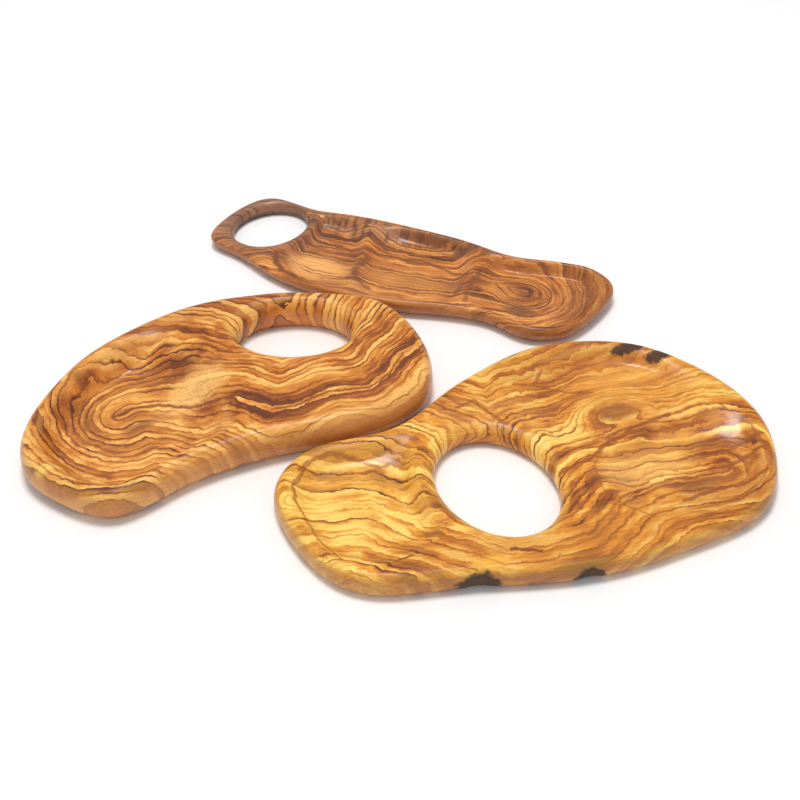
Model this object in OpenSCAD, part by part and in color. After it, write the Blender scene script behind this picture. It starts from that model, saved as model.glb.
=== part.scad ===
// Set of three free-form serving dishes, each carved from one piece of olive wood.
// Every dish has scooped hollows, a rolled edge, a flat base and a finger hole right through it.
// Millimetres, +Z up. The set stands on z = 0, centred on its footprint, seen along +Y.

/* [Front dish] */
// Length of the front dish
front_length = 349; // [315:1:385]
// Width of the front dish
front_width = 209; // [190:1:230]
// Height of the front dish's rim at its small lobe
front_height = 20; // [17:0.5:25]
// Height of the front dish's rim at its wide end
front_end_height = 17; // [15:0.5:22]
// Width of the roll round the front dish's upper edge
front_roll = 6.5; // [4:0.5:9]
// Height at which the front dish is widest
front_belly = 8; // [6:0.5:10]
// How far the front dish's wall tucks in below its widest line
front_tuck = 8; // [4:0.5:11]
// Run of the slope from the front dish's rim into its hollows
front_slope = 13; // [10:0.5:18]
// Length of the front dish's finger hole
front_hole_length = 98; // [86:1:108]
// Width of the front dish's finger hole
front_hole_width = 78; // [66:1:84]
// Width of the roll round the top of the front dish's finger hole
front_hole_roll = 10; // [6:0.5:13]
// Width of the round at the foot of the front dish's finger hole
front_hole_foot = 5; // [2:0.5:8]
// Length of the front dish's far hollow
front_far_length = 165; // [130:1:185]
// Width of the front dish's far hollow
front_far_width = 116; // [90:1:140]
// Depth of the front dish's far hollow
front_far_depth = 9; // [5:0.5:11]
// Length of the front dish's near hollow
front_near_length = 142; // [110:1:165]
// Width of the front dish's near hollow
front_near_width = 108; // [85:1:130]
// Depth of the front dish's near hollow
front_near_depth = 10; // [5:0.5:11.5]
// Length of the hollow in the front dish's small lobe
front_lobe_length = 124; // [95:1:140]
// Width of the hollow in the front dish's small lobe
front_lobe_width = 132; // [100:1:155]
// Depth of the hollow in the front dish's small lobe
front_lobe_depth = 10; // [5:0.5:13]

/* [Left dish] */
// Length of the left dish
left_length = 300; // [265:1:330]
// Width of the left dish
left_width = 173; // [158:1:190]
// Height of the left dish's rim at the hollow
left_height = 27; // [24:0.5:34]
// Height of the left dish round its finger hole
left_hole_height = 28; // [24:0.5:34]
// Width of the roll round the left dish's upper edge at the hollow
left_roll = 8; // [5:0.5:12]
// Width of the roll round the left dish's upper edge at its thick end
left_end_roll = 10; // [7:0.5:16]
// Height at which the left dish is widest
left_belly = 12; // [8:0.5:16]
// How far the left dish's wall tucks in below its widest line
left_tuck = 11; // [5:0.5:14]
// Run of the slope from the left dish's rim into its hollow
left_slope = 18; // [12:0.5:24]
// Length of the left dish's finger hole
left_hole_length = 84; // [66:1:90]
// Width of the left dish's finger hole
left_hole_width = 52; // [42:1:60]
// Width of the roll round the top of the left dish's finger hole
left_hole_roll = 12; // [7:0.5:15]
// Width of the round at the foot of the left dish's finger hole
left_hole_foot = 6; // [2:0.5:8]
// Length of the left dish's hollow
left_hollow_length = 160; // [120:1:190]
// Width of the left dish's hollow
left_hollow_width = 180; // [120:1:200]
// Depth of the left dish's hollow
left_hollow_depth = 18; // [8:0.5:20]

/* [Back dish] */
// Length of the back dish
back_length = 324; // [300:1:360]
// Width of the back dish
back_width = 101; // [92:1:112]
// Height of the back dish's rim
back_height = 15; // [13.5:0.5:19]
// Thickness of the back dish's ring handle
back_ring_height = 12.5; // [10:0.5:15]
// Width of the roll round the back dish's upper edge
back_roll = 4; // [3:0.5:6]
// Width of the roll round the outside of the ring handle
back_ring_roll = 6; // [3:0.5:8]
// Height at which the back dish is widest
back_belly = 9.5; // [7:0.5:10.5]
// How far the back dish's wall tucks in below its widest line
back_tuck = 12; // [6:0.5:14]
// Run of the slope from the back dish's rim into its hollows
back_slope = 8; // [6:0.5:12]
// Length of the hole in the ring handle
back_hole_length = 62; // [48:1:66]
// Width of the hole in the ring handle
back_hole_width = 48; // [38:1:53]
// Width of the roll round the top of the hole in the ring handle
back_hole_roll = 6; // [3:0.5:8]
// Width of the round at the foot of the hole in the ring handle
back_hole_foot = 3; // [1:0.5:5]
// Length of the hollow beside the ring handle
back_first_length = 70; // [55:1:80]
// Depth of the hollow beside the ring handle
back_first_depth = 7.5; // [4:0.5:9]
// Length of the back dish's middle hollow
back_middle_length = 102; // [85:1:115]
// Depth of the back dish's middle hollow
back_middle_depth = 8.5; // [4:0.5:10]
// Length of the hollow at the back dish's wide end
back_end_length = 112; // [95:1:125]
// Depth of the hollow at the back dish's wide end
back_end_depth = 9; // [4:0.5:10]
// Width of the back dish's three hollows
back_hollow_width = 108; // [80:1:120]

/* [Layout] */
// Turn of the front dish on the table, degrees
front_turn = 14; // [5:1:25]
// Turn of the left dish on the table, degrees
left_turn = 29; // [20:1:40]
// Turn of the back dish on the table, degrees
back_turn = -17.5; // [-28:0.5:-8]
// Sideways step from the front dish to the left dish
left_step = 213.5; // [190:0.5:240]
// Sideways step from the front dish to the back dish
back_step = 81; // [50:0.5:110]
// Clear space between the front dish and the left dish behind it
left_gap = 4; // [3:0.5:20]
// Clear space between the back dish and the dishes in front of it
back_gap = 6.5; // [3:0.5:20]

/* [Hidden] */

// Points of each outline, in percent of half the dish's length and width, anticlockwise.
// Each starts at the end of the dish that is farthest from its finger hole.
front_points = [
    [100, -19], [93, 35], [65, 86], [24, 100], [-14, 78], [-46, 46], [-82, 40],
    [-100, 8], [-93, -47], [-75, -79], [-38, -89], [8, -100], [46, -94], [84, -75]
];
left_points = [
    [-100, 5], [-97, -35], [-74, -82], [-32, -77], [5, -83], [47, -100], [83, -92], [100, -41],
    [95, 26], [62, 68], [32, 91], [5, 100], [-25, 96], [-55, 81], [-86, 43]
];
back_points = [
    [100, 33], [88, 75], [70, 77], [47, 69], [20, 85], [-20, 93], [-56, 91], [-80, 100], [-93, 52],
    [-98, -22], [-79, -48], [-56, -83], [-30, -98], [0, -99], [30, -83], [48, -81], [68, -97], [88, -67]
];

// Points on each span of an outline, and passes of softening that the outline gets
span_count = 16;
front_soft_count = 6;
left_soft_count = 6;
back_soft_count = 4;

// Largest share of the wood between edge and hole that one roll may take
roll_share = 0.45;
// Power of the soft maximum that blends neighbouring hollows
blend_power = 3;
// Power of a hollow's oval: 2 is an ellipse, more is squarer
oval_power = 2.6;
// Faces up each half of a wall, across a top, and how closely the top's rows crowd the rim
wall_half_count = 3;
top_count = 11;
rim_power = 1.25;

// Eased step from 0 to 1
function ease(x) = let (u = min(1, max(0, x))) u * u * (3 - 2 * u);

// Value that eases from a to b as x goes from the first to the second place in span
function between(a, b, x, span) = a + (b - a) * ease((x - span[0]) / (span[1] - span[0]));

// Point p turned by an angle about the origin
function turned(p, angle) = [p.x * cos(angle) - p.y * sin(angle), p.x * sin(angle) + p.y * cos(angle)];

// Unit vector along v, turned a quarter turn anticlockwise
function left_of(v) = [-v.y, v.x] / norm(v);

// Closed smooth curve that passes through the points
function closed_curve(points) = [
    for (i = [0 : len(points) - 1], k = [0 : span_count - 1])
        let (
            n = len(points),
            t = k / span_count,
            a = points[(i + n - 1) % n],
            b = points[i],
            c = points[(i + 1) % n],
            d = points[(i + 2) % n]
        )
        (2 * b + (c - a) * t + (2 * a - 5 * b + 4 * c - d) * t * t + (3 * b - a - 3 * c + d) * t * t * t) / 2
];

// Closed curve with each point averaged with its neighbours
function softened(curve, passes) = passes <= 0 ? curve : softened(
    [
        for (i = [0 : len(curve) - 1])
            let (n = len(curve))
            (curve[(i + n - 1) % n] + 2 * curve[i] + curve[(i + 1) % n]) / 4
    ],
    passes - 1
);

// Lowest and highest corner of a list of points
function corners(points) = let (xs = [for (p = points) p.x], ys = [for (p = points) p.y])
    [[min(xs), min(ys)], [max(xs), max(ys)]];

// Curve stretched to fill a box of the given size about the origin
function fitted(curve, size) = let (box = corners(curve), mid = (box[0] + box[1]) / 2, span = box[1] - box[0])
    [for (p = curve) [(p.x - mid.x) * size.x / span.x, (p.y - mid.y) * size.y / span.y]];

// Outline of a dish: the widest line of its wall, seen from above
function outline(points, passes, size) = fitted(softened(closed_curve(points), passes), size);

// Length of a closed curve up to each of its points, back to the first one
function lengths(curve) = let (n = len(curve))
    [for (i = 0, s = 0; i <= n; s = s + norm(curve[(i + 1) % n] - curve[i % n]), i = i + 1) s];

// Least distance from point p to a closed curve
function gap_to(curve, p) = min([
    for (i = [0 : len(curve) - 1])
        let (a = curve[i], side = curve[(i + 1) % len(curve)] - a, t = ((p - a) * side) / (side * side))
        norm(p - a - side * min(1, max(0, t)))
]);

// Heights in Y at which a closed curve crosses the line at x
function crossings(curve, x) = [
    for (i = [0 : len(curve) - 1])
        let (a = curve[i], b = curve[(i + 1) % len(curve)])
        if (a.x != b.x && min(a.x, b.x) <= x && x <= max(a.x, b.x))
            a.y + (b.y - a.y) * (x - a.x) / (b.x - a.x)
];

// Shift in Y that leaves a gap between a dish and the dish that is pushed up behind it
function nested(ahead, behind, gap) = gap + max([
    for (p = concat(ahead, behind))
        let (near = crossings(ahead, p.x), far = crossings(behind, p.x))
        if (len(near) > 0 && len(far) > 0) max(near) - min(far)
]);

// Outline turned and moved to its place on the table
function laid(curve, angle, place) = [for (p = curve) turned(p, angle) + place];

// Depth at point p of one hollow: a squarish oval scoop with an eased wall
function scoop(p, hollow) =
    let (
        size = hollow[0],
        q = turned(p - hollow[1], -hollow[2]),
        u = pow(abs(2 * q.x / size[0]), oval_power),
        v = pow(abs(2 * q.y / size[1]), oval_power)
    )
    size[2] * ease((1 - pow(u + v, 1 / oval_power)) / (1 - hollow[3]));

// Depth at point p of several hollows that run into each other
function scooped(p, hollows) = pow(
    [for (h = hollows) pow(scoop(p, h), blend_power)] * [for (h = hollows) 1],
    1 / blend_power
);

// A point given in percent of half a dish's length and width
function at_percent(place, size) = [place.x * size.x, place.y * size.y] / 200;

// One carved dish, in its own frame, as a loft from its outline in to its finger hole.
// The loft's inner edge runs along a straight seam from the seam's tip to the hole, round the hole
// and back along the seam, so the rows fan out round the tip and follow the edge elsewhere.
//   edge     outline of the dish
//   heights  height of the top at each end of taper
//   rolls    width of the outer edge's roll at each end of taper
//   taper    two places along X between which heights and rolls change
//   belly    height of the widest line
//   tuck     inset of the base
//   slope    run of the slope from the rim into the hollows
//   hole     [[length, width], centre, turn, angle at which the seam meets it]
//   hole_roll, hole_foot   rounds at the top and foot of the hole
//   hollows  list of [[length, width, depth], centre, turn, share that is flat]
//   tip      end of the seam
//   marks    percent of the outline at which the fan ends, the hole's rows start and end, the fan starts
//   rows     number of rows in the fan, along one side of the seam and round the hole
//   pace     pairs: share of the rows round the hole, and share of the turn round it that they have done
module carved_dish(
    edge, heights, rolls, taper, belly, tuck, slope,
    hole, hole_roll, hole_foot, hollows, tip, marks, rows, pace
) {
    fan = rows[0];
    seam = rows[1];
    round_hole = rows[2];
    seam_end = fan + seam;
    hole_end = seam_end + round_hole;
    count = hole_end + seam;

    // The outline by length, so that rows can be spaced evenly along it
    run = lengths(edge);
    total = run[len(edge)];
    run_x = [for (i = [0 : len(edge)]) [run[i], edge[i % len(edge)].x]];
    run_y = [for (i = [0 : len(edge)]) [run[i], edge[i % len(edge)].y]];
    function edge_at(share) = let (s = (share - floor(share)) * total) [lookup(s, run_x), lookup(s, run_y)];
    function spread(from, to, steps) = [for (i = [0 : steps - 1]) (from + (to - from) * i / steps) / 100];
    shares = concat(
        spread(marks[3] - 100, marks[0], fan),
        spread(marks[0], marks[1], seam),
        spread(marks[1], marks[2], round_hole),
        spread(marks[2], marks[3], seam)
    );
    nudge = 0.5 / count;
    rim = [for (f = shares) edge_at(f)];
    inward = [for (f = shares) left_of(edge_at(f + nudge) - edge_at(f - nudge))];

    // The finger hole, an ellipse, and its outward directions
    function hole_at(angle) = hole[1]
        + turned([hole[0].x * cos(angle), hole[0].y * sin(angle)] / 2, hole[2]);
    hole_angles = [for (j = [0 : round_hole - 1]) hole[3] + 360 * lookup(j / round_hole, pace)];
    mouth = [for (a = hole_angles) hole_at(a)];
    outward = [for (a = hole_angles) -left_of(hole_at(a + 1) - hole_at(a - 1))];

    // Rolls, limited where the wood between edge and hole is narrow
    function height_at(p) = between(heights[0], heights[1], p.x, taper);
    function roll_at(p) = between(rolls[0], rolls[1], p.x, taper);
    mouth_band = [for (j = [0 : round_hole - 1]) roll_share * norm(rim[seam_end + j] - mouth[j])];
    mouth_roll = [for (b = mouth_band) min(hole_roll, b)];
    mouth_foot = [for (b = mouth_band) min(hole_foot, b)];
    crown = [for (j = [0 : round_hole - 1]) mouth[j] + outward[j] * mouth_roll[j]];
    seam_line = [for (j = [0 : seam]) tip + (crown[0] - tip) * j / seam];

    // Inner end of each row of the loft
    inner = [
        for (i = [0 : count - 1])
            i < fan ? tip
            : i < seam_end ? seam_line[i - fan]
            : i < hole_end ? crown[i - seam_end]
            : seam_line[seam - (i - hole_end)]
    ];
    band = [
        for (i = [0 : count - 1])
            i >= seam_end && i < hole_end ? mouth_band[i - seam_end] : roll_share * norm(rim[i] - inner[i])
    ];
    edge_roll = [for (i = [0 : count - 1]) min(roll_at(rim[i]), band[i])];
    edge_tuck = [for (i = [0 : count - 1]) min(tuck, band[i])];

    // Height of the top: the rim's height less the hollows, which fade out at the rim and the hole
    function top_at(p) =
        let (
            depth = scooped(p, hollows),
            from_rim = depth == 0 ? 0 : ease((gap_to(rim, p) - roll_at(p)) / slope),
            from_hole = depth == 0 ? 0 : ease((gap_to(mouth, p) - hole_roll) / slope)
        )
        height_at(p) - depth * from_rim * from_hole;

    // Wall of row i at an angle from -90 at the base through 0 at the belly to 90 at the rim
    function wall_at(i, angle) =
        let (
            low = angle < 0,
            p = rim[i] + inward[i] * (low ? edge_tuck[i] : edge_roll[i]) * (1 - cos(angle)),
            high = height_at(rim[i] + inward[i] * edge_roll[i])
        )
        [p.x, p.y, belly + (low ? belly : high - belly) * sin(angle)];

    // Wall of the hole at row j, by the same angle from its foot to its crown
    function mouth_at(j, angle) =
        let (
            low = angle < 0,
            p = mouth[j] + outward[j] * (low ? mouth_foot[j] : mouth_roll[j]) * (1 - cos(angle)),
            middle = top_at(crown[j]) / 2
        )
        [p.x, p.y, middle * (1 + sin(angle))];

    // Each row's points run up the outer wall and over the top to the loft's inner edge
    wall_angles = [for (k = [0 : 2 * wall_half_count]) 90 * (k / wall_half_count - 1)];
    columns = len(wall_angles) + top_count;
    function top_point(i, k) =
        let (
            start = rim[i] + inward[i] * edge_roll[i],
            p = start + (inner[i] - start) * pow(k / top_count, rim_power)
        )
        [p.x, p.y, top_at(p)];
    skin = [
        for (i = [0 : count - 1]) each concat(
            [for (a = wall_angles) wall_at(i, a)],
            [for (k = [1 : top_count]) top_point(i, k)]
        )
    ];
    under = [
        for (i = [0 : count - 1])
            let (at_hole = i >= seam_end && i < hole_end)
            at_hole ? mouth_at(i - seam_end, -90) : [inner[i].x, inner[i].y, 0]
    ];
    mouth_angles = [for (k = [1 : 2 * wall_half_count - 1]) wall_angles[2 * wall_half_count - k]];
    mouth_wall = [for (j = [0 : round_hole - 1], a = mouth_angles) mouth_at(j, a)];

    // The two sides of the seam share their points, and so does the whole fan at the tip
    function owner(i) = let (k = i % count)
        k <= fan ? 0 : k <= hole_end - 1 ? k : k == hole_end ? seam_end : fan + seam - (k - hole_end);
    function skin_index(i, k) = k == columns - 1 ? owner(i) * columns + k : (i % count) * columns + k;
    function under_index(i) = count * columns + owner(i);
    function mouth_index(j, k) =
        k == 0 ? skin_index(seam_end + j % round_hole, columns - 1)
        : k == 2 * wall_half_count ? under_index(seam_end + j % round_hole)
        : count * (columns + 1) + (j % round_hole) * len(mouth_angles) + k - 1;

    // Two triangles of a four-sided patch, or one where two of its corners are the same point
    function patch(a, b, c, d) = c == d ? [[a, c, b]] : [[a, d, c], [a, c, b]];
    faces = concat(
        [
            for (i = [0 : count - 1], k = [0 : columns - 2]) each patch(
                skin_index(i, k), skin_index(i + 1, k), skin_index(i + 1, k + 1), skin_index(i, k + 1)
            )
        ],
        [
            for (i = [0 : count - 1]) each patch(
                skin_index(i + 1, 0), skin_index(i, 0), under_index(i), under_index(i + 1)
            )
        ],
        [
            for (j = [0 : round_hole - 1], k = [0 : 2 * wall_half_count - 1]) each patch(
                mouth_index(j, k), mouth_index(j + 1, k), mouth_index(j + 1, k + 1), mouth_index(j, k + 1)
            )
        ]
    );
    polyhedron(points = concat(skin, under, mouth_wall), faces = faces);
}

// Outlines in their own frames, then laid out: the left dish is pushed up behind the front dish,
// and the back dish behind both of them
front_size = [front_length, front_width];
left_size = [left_length, left_width];
back_size = [back_length, back_width];
front_edge = outline(front_points, front_soft_count, front_size);
left_edge = outline(left_points, left_soft_count, left_size);
back_edge = outline(back_points, back_soft_count, back_size);
front_laid = laid(front_edge, front_turn, [0, 0]);
left_side = laid(left_edge, left_turn, [-left_step, 0]);
left_shift = nested(front_laid, left_side, left_gap);
left_laid = laid(left_side, 0, [0, left_shift]);
back_side = laid(back_edge, back_turn, [-back_step, 0]);
back_shift = max(nested(front_laid, back_side, back_gap), nested(left_laid, back_side, back_gap));
back_laid = laid(back_side, 0, [0, back_shift]);
set_box = corners(concat(front_laid, left_laid, back_laid));
set_middle = (set_box[0] + set_box[1]) / 2;

module front_dish() {
    color("#d8942f")
        translate([-set_middle.x, -set_middle.y, 0])
            rotate(front_turn)
                carved_dish(
                    edge = front_edge,
                    heights = [front_height, front_end_height],
                    rolls = [front_roll, front_roll],
                    taper = [-front_length / 2, front_length / 2],
                    belly = front_belly,
                    tuck = front_tuck,
                    slope = front_slope,
                    hole = [
                        [front_hole_length, front_hole_width],
                        at_percent([-14.5, -17.5], front_size), -70, 86
                    ],
                    hole_roll = front_hole_roll,
                    hole_foot = front_hole_foot,
                    hollows = [
                        [
                            [front_far_length, front_far_width, front_far_depth],
                            at_percent([41, 46], front_size), 12, 0.4
                        ],
                        [
                            [front_near_length, front_near_width, front_near_depth],
                            at_percent([61, -30], front_size), -4, 0.5
                        ],
                        [
                            [front_lobe_length, front_lobe_width, front_lobe_depth],
                            at_percent([-66, -14], front_size), 0, 0.5
                        ]
                    ],
                    tip = at_percent([52, 4], front_size),
                    marks = [14, 20, 91, 95],
                    rows = [16, 6, 60],
                    pace = [[0, 0], [0.31, 0.43], [0.65, 0.57], [1, 1]]
                );
}

module left_dish() {
    color("#c98a3a")
        translate([-left_step - set_middle.x, left_shift - set_middle.y, 0])
            rotate(left_turn)
                carved_dish(
                    edge = left_edge,
                    heights = [left_height, left_hole_height],
                    rolls = [left_roll, left_end_roll],
                    taper = [-left_length / 3, left_length / 15],
                    belly = left_belly,
                    tuck = left_tuck,
                    slope = left_slope,
                    hole = [[left_hole_length, left_hole_width], at_percent([46, 26], left_size), -28, 199],
                    hole_roll = left_hole_roll,
                    hole_foot = left_hole_foot,
                    hollows = [
                        [
                            [left_hollow_length, left_hollow_width, left_hollow_depth],
                            at_percent([-50, 7], left_size), 4, 0.5
                        ]
                    ],
                    tip = at_percent([-75, 12], left_size),
                    marks = [16, 20, 77, 96.5],
                    rows = [16, 10, 54],
                    pace = [[0, 0], [0.28, 0.26], [0.63, 0.49], [1, 1]]
                );
}

module back_dish() {
    color("#a8703a")
        translate([-back_step - set_middle.x, back_shift - set_middle.y, 0])
            rotate(back_turn)
                carved_dish(
                    edge = back_edge,
                    heights = [back_ring_height, back_height],
                    rolls = [back_ring_roll, back_roll],
                    taper = [-back_length / 3, -back_length / 6],
                    belly = back_belly,
                    tuck = back_tuck,
                    slope = back_slope,
                    hole = [[back_hole_length, back_hole_width], at_percent([-74, 31], back_size), 45, -70],
                    hole_roll = back_hole_roll,
                    hole_foot = back_hole_foot,
                    hollows = [
                        [
                            [back_first_length, back_hollow_width, back_first_depth],
                            at_percent([-40, -8], back_size), 12, 0.58
                        ],
                        [
                            [back_middle_length, back_hollow_width, back_middle_depth],
                            at_percent([4, -6], back_size), 4, 0.62
                        ],
                        [
                            [back_end_length, back_hollow_width, back_end_depth],
                            at_percent([65, -2], back_size), 0, 0.62
                        ]
                    ],
                    tip = at_percent([58, 2], back_size),
                    marks = [10, 30.5, 59.2, 94],
                    rows = [18, 28, 40],
                    pace = [[0, 0], [0.36, 0.39], [0.86, 0.79], [1, 1]]
                );
}

front_dish();
left_dish();
back_dish();
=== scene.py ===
"""Three olive wood serving dishes on a white table, dressed for a studio picture.

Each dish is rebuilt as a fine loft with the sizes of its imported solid, and gets its own solid olive wood:
growth layers that the carving cuts through, so that the figure follows every hollow, rim and hole.
"""

from __future__ import annotations

import functools
import logging
import math
from dataclasses import dataclass
from enum import Enum
from typing import Callable, Union

import bpy
import numpy as np
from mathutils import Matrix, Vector

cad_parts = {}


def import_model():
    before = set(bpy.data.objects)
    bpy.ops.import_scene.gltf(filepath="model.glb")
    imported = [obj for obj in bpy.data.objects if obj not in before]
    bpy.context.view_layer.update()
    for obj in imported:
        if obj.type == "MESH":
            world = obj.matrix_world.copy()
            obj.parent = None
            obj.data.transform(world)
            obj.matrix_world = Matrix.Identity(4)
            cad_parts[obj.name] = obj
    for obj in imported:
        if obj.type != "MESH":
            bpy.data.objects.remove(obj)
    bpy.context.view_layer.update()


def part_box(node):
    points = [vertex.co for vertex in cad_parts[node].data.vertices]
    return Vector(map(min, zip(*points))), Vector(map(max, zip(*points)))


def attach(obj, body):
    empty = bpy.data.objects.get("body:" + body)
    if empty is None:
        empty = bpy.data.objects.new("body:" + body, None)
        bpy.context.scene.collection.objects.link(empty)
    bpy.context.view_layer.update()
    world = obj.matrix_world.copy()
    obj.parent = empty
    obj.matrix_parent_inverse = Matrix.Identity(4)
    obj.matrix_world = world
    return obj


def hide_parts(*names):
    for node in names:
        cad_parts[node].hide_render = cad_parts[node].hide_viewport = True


LOG = logging.getLogger("olive_dishes")
MM = 0.001
UP = (0.0, 0.0, 1.0)
# Share of a line's width at which it is full.
CORE = 0.25

Colour = tuple[int, int, int]
Pair = tuple[float, float]
Triple = tuple[float, float, float]


def ease(x: np.ndarray) -> np.ndarray:
    """Eased step from 0 to 1."""
    u = np.clip(x, 0.0, 1.0)
    return u * u * (3.0 - 2.0 * u)


def turned(points: np.ndarray, degrees: float) -> np.ndarray:
    """Turn points in the plane about the origin.

    Args:
        points: Array whose last axis is X and Y.
        degrees: Angle, anticlockwise.

    Returns:
        The turned points.
    """
    angle = math.radians(degrees)
    cos, sin = math.cos(angle), math.sin(angle)
    x, y = points[..., 0], points[..., 1]
    return np.stack([x * cos - y * sin, x * sin + y * cos], axis=-1)


def gap_to(curve: np.ndarray, points: np.ndarray) -> np.ndarray:
    """Least distance from each point to a closed curve.

    Args:
        curve: Corners of the curve, one a row.
        points: Array whose last axis is X and Y.

    Returns:
        One distance a point.
    """
    side = np.roll(curve, -1, axis=0) - curve
    square = (side * side).sum(axis=-1)
    flat = points.reshape(-1, 2)
    found = np.empty(len(flat))
    chunk = 2000
    for first in range(0, len(flat), chunk):
        away = flat[first:first + chunk, None, :] - curve[None]
        along = np.clip((away * side).sum(axis=-1) / square, 0.0, 1.0)
        rest = away - along[..., None] * side
        found[first:first + chunk] = np.sqrt((rest * rest).sum(axis=-1)).min(axis=1)
    return found.reshape(points.shape[:-1])


def math_method(operation: str, swapped: bool = False) -> Callable[[Wire, Value], Wire]:
    """Make a method that runs a Math node on a wire and another value, which comes first if swapped."""
    def method(self: Wire, other: Value) -> Wire:
        """Add the node."""
        first, second = (other, self) if swapped else (self, other)
        return self.graph.maths(operation, first, second)

    return method


class Wire:
    """A value in a material's node tree that takes part in Python expressions."""

    def __init__(self, graph: Graph, socket: bpy.types.NodeSocket) -> None:
        """Keep the graph that the value belongs to and the socket that gives it."""
        self.graph = graph
        self.socket = socket

    __add__ = math_method("ADD")
    __radd__ = math_method("ADD", swapped=True)
    __sub__ = math_method("SUBTRACT")
    __rsub__ = math_method("SUBTRACT", swapped=True)
    __mul__ = math_method("MULTIPLY")
    __rmul__ = math_method("MULTIPLY", swapped=True)
    __truediv__ = math_method("DIVIDE")
    __rtruediv__ = math_method("DIVIDE", swapped=True)
    __pow__ = math_method("POWER")


Value = Union[Wire, float]
Paint = Union[Wire, Colour]
Arrow = Union[Wire, Triple]


class Graph:
    """Node tree of one material, written as expressions on wires."""

    def __init__(self, name: str) -> None:
        """Make an empty material of the given name."""
        self.material = bpy.data.materials.new(name)
        self.material.use_nodes = True
        self.tree = self.material.node_tree
        self.tree.nodes.clear()

    @staticmethod
    def _named(sockets: bpy.types.bpy_prop_collection, key: str) -> bpy.types.NodeSocket:
        """Find a node's socket by its identifier or else by its name."""
        for socket in sockets:
            if socket.identifier == key:
                return socket
        return sockets[key]

    def node(self, kind: str, settings: dict, inputs: dict, output: str) -> Wire:
        """Add a node.

        Args:
            kind: Type of the node.
            settings: Its properties, set before its sockets are used.
            inputs: Value or wire of each input.
            output: Name of the output that is wanted.

        Returns:
            That output.
        """
        made = self.tree.nodes.new(kind)
        for key, value in settings.items():
            setattr(made, key, value)
        for key, value in inputs.items():
            socket = self._named(made.inputs, key)
            if isinstance(value, Wire):
                self.tree.links.new(value.socket, socket)
            else:
                socket.default_value = value
        return Wire(self, self._named(made.outputs, output))

    def maths(self, operation: str, first: Value, second: Value = 0.0) -> Wire:
        """Add a Math node on one value or two."""
        inputs = {"Value": first, "Value_001": second}
        return self.node("ShaderNodeMath", {"operation": operation}, inputs, "Value")

    def fold(self, operation: str, values: list[Wire]) -> Wire:
        """Run a Math node over all the values."""
        return functools.reduce(lambda one, other: self.maths(operation, one, other), values)

    def vector(self, operation: str, first: Wire, second: Arrow, output: str = "Vector") -> Wire:
        """Add a Vector Math node on two vectors."""
        inputs = {"Vector": first, "Vector_001": second}
        return self.node("ShaderNodeVectorMath", {"operation": operation}, inputs, output)

    def dot(self, first: Wire, second: Arrow) -> Wire:
        """Add a dot product of two vectors."""
        return self.vector("DOT_PRODUCT", first, second, "Value")

    def mix(self, share: Value, first: Paint, second: Paint, blend: str = "MIX") -> Wire:
        """Add a mix of two colours.

        Args:
            share: How much of the second colour shows.
            first: Colour below.
            second: Colour above.
            blend: Blend mode.

        Returns:
            The mixed colour.
        """
        settings = {"data_type": "RGBA", "blend_type": blend, "clamp_factor": True}
        inputs = {
            "Factor_Float": share,
            "A_Color": first if isinstance(first, Wire) else linear(first),
            "B_Color": second if isinstance(second, Wire) else linear(second),
        }
        return self.node("ShaderNodeMix", settings, inputs, "Result_Color")

    def step(self, value: Wire, low: float, high: float) -> Wire:
        """Eased step of a value from 0 at low to 1 at high."""
        settings = {"interpolation_type": "SMOOTHSTEP"}
        inputs = {"Value": value, "From Min": low, "From Max": high}
        return self.node("ShaderNodeMapRange", settings, inputs, "Result")

    def noise(self, place: Wire, size: float, detail: float = 2.0, roughness: float = 0.5) -> Wire:
        """Add soft noise about 0.

        Args:
            place: Point at which it is read, in millimetres.
            size: Size of its largest waves, in millimetres.
            detail: Finer octaves on top of them.
            roughness: Weight of each finer octave.

        Returns:
            A value of about -0.5 to 0.5.
        """
        inputs = {"Vector": place, "Scale": 1.0 / size, "Detail": detail, "Roughness": roughness}
        return self.node("ShaderNodeTexNoise", {"noise_dimensions": "3D"}, inputs, "Fac") - 0.5

    def ragged(self, place: Wire, size: float, reach: float) -> Wire:
        """Move points about by noise, so that what is drawn on them gets ragged edges.

        Args:
            place: Points, in millimetres.
            size: Size of the noise's largest waves, in millimetres.
            reach: How far points move, in millimetres.

        Returns:
            The moved points.
        """
        inputs = {"Vector": place, "Scale": 1.0 / size, "Detail": 3.0, "Roughness": 0.6}
        colour = self.node("ShaderNodeTexNoise", {"noise_dimensions": "3D"}, inputs, "Color")
        centred = self.vector("SUBTRACT", colour, (0.5, 0.5, 0.5))
        return self.vector("ADD", place, self.vector("MULTIPLY", centred, (reach, reach, reach)))

    def drawn_out(self, place: Wire, share: float) -> Wire:
        """Points squeezed along the grain, so that noise read there is drawn out along it."""
        return self.vector("MULTIPLY", place, (share, 1.0, 1.0))

    def gap(self, place: Wire, path: tuple[Pair, ...]) -> Wire:
        """Distance from points to a path, given by its corners and seen from above."""
        flat = self.vector("MULTIPLY", place, (1.0, 1.0, 0.0))
        gaps = []
        for start, stop in zip(path, path[1:]):
            side = (stop[0] - start[0], stop[1] - start[1], 0.0)
            square = side[0] ** 2 + side[1] ** 2
            away = self.vector("SUBTRACT", flat, (*start, 0.0))
            along = self.dot(away, tuple(part / square for part in side))
            held = self.maths("MINIMUM", self.maths("MAXIMUM", along, 0.0), 1.0)
            inputs = {"Vector": side, "Scale": held}
            foot = self.node("ShaderNodeVectorMath", {"operation": "SCALE"}, inputs, "Vector")
            gaps.append(self.length(self.vector("SUBTRACT", away, foot)))
        return self.fold("MINIMUM", gaps)

    def length(self, vector: Wire) -> Wire:
        """Length of a vector."""
        return self.node("ShaderNodeVectorMath", {"operation": "LENGTH"}, {"Vector": vector}, "Value")

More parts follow.
